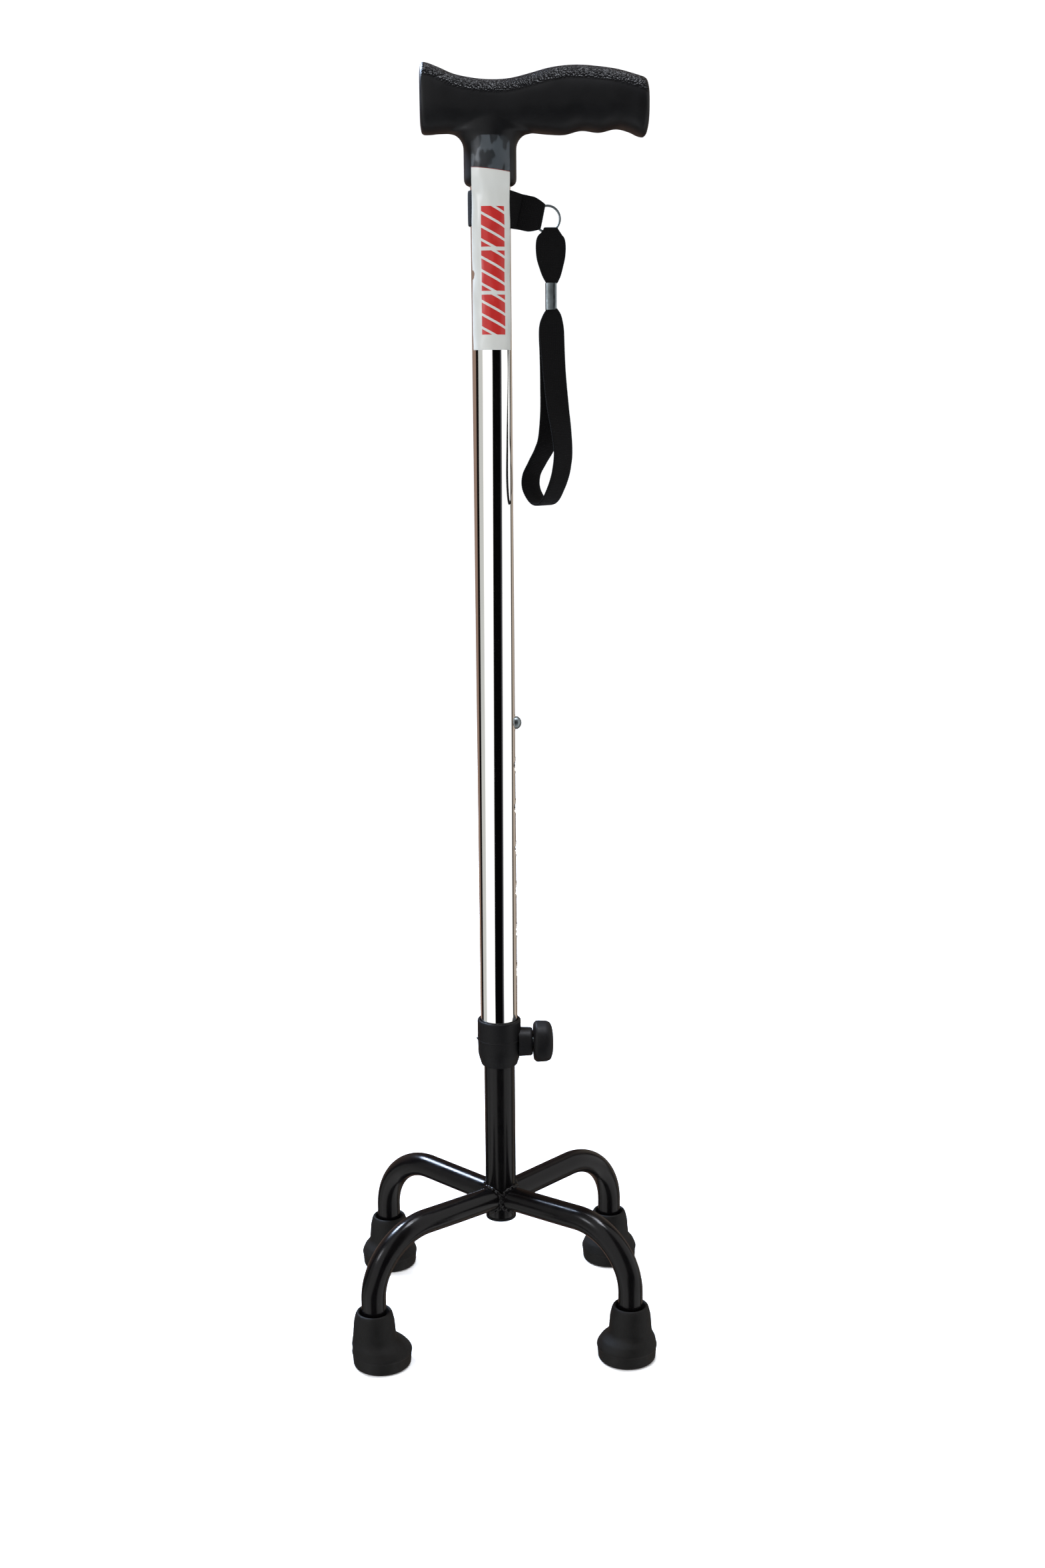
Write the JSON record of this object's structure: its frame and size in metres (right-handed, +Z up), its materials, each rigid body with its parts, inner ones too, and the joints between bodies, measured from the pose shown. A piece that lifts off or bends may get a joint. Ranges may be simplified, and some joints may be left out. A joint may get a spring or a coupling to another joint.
{
  "type": "quad walking cane",
  "caption": "Four-footed walking cane: moulded T handle, telescopic tube with snap button and side-knob lock collar, wrist strap on a split ring.",
  "frame": {"origin": "the shaft's axis at floor level, midway between the four feet", "axes": "+Z up along the shaft, +X along the handle's long arm, -Y the side with the label"},
  "size_m": [0.179, 0.1654, 0.7306],
  "materials": {
    "polished_tube": "polished",
    "painted_steel": "gloss",
    "plain_steel": "satin",
    "pad_brass": "satin",
    "black_plastic": "satin",
    "grip_plastic": "satin",
    "black_rubber": "matte",
    "label_film": "gloss",
    "black_webbing": "matte"
  },
  "bodies": {
    "base": {"stem_tube": "painted_steel", "stem_end_cap": "black_plastic", "stem_top_guide": "black_plastic", "leg_front_left": "painted_steel", "leg_front_right": "painted_steel", "leg_back_left": "painted_steel", "leg_back_right": "painted_steel", "hub_weld": "painted_steel", "foot_tip_front_left": "black_rubber", "foot_tip_front_right": "black_rubber", "foot_tip_back_left": "black_rubber", "foot_tip_back_right": "black_rubber", "tip_washers": "plain_steel", "button_spring": "plain_steel"},
    "snap_button": {"snap_button": "plain_steel"},
    "upper": {"upper_tube": "polished_tube", "handle": "grip_plastic", "label": "label_film", "strap_band": "black_webbing", "lock_collar": "black_plastic", "collar_nut": "plain_steel", "guide_bush": "black_plastic"},
    "clamp_pad": {"clamp_pad": "pad_brass"},
    "knob": {"knob_head": "black_plastic", "knob_screw": "plain_steel"},
    "split_ring": {"split_ring": "plain_steel"},
    "wrist_strap": {"wrist_strap": "black_webbing", "strap_crimp": "plain_steel"}
  },
  "joints": [
    {"name": "height_slide", "type": "slide", "parent": "base", "child": "upper", "axis": [0, 0, 1], "range_m": [0, 0.15]},
    {"name": "button_press", "type": "slide", "parent": "base", "child": "snap_button", "axis": [-1, 0, 0], "range_m": [0, 0.0055], "stiffness_N_per_m": 900, "springref_m": -0.003, "deforming": ["button_spring"]},
    {"name": "pad_travel", "type": "slide", "parent": "upper", "child": "clamp_pad", "axis": [1, 0, 0], "range_m": [0, 0.002]},
    {"name": "knob_turn", "type": "hinge", "parent": "clamp_pad", "child": "knob", "pos_m": [0.0254, 0, 0.173], "axis": [1, 0, 0], "range_deg": [0, 720]},
    {"name": "ring_turn", "type": "hinge", "parent": "upper", "child": "split_ring", "pos_m": [0.0312, 0, 0.6494], "axis": [0, 1, 0], "range_deg": [-60, 0]},
    {"name": "strap_swing", "type": "hinge", "parent": "split_ring", "child": "wrist_strap", "pos_m": [0.0312, 0, 0.6424], "axis": [1, 0, 0], "range_deg": [-75, 75]}
  ],
  "couplings": [
    {"joint": "knob_turn", "follows": "pad_travel", "rad_per_m": 6283.2}
  ]
}
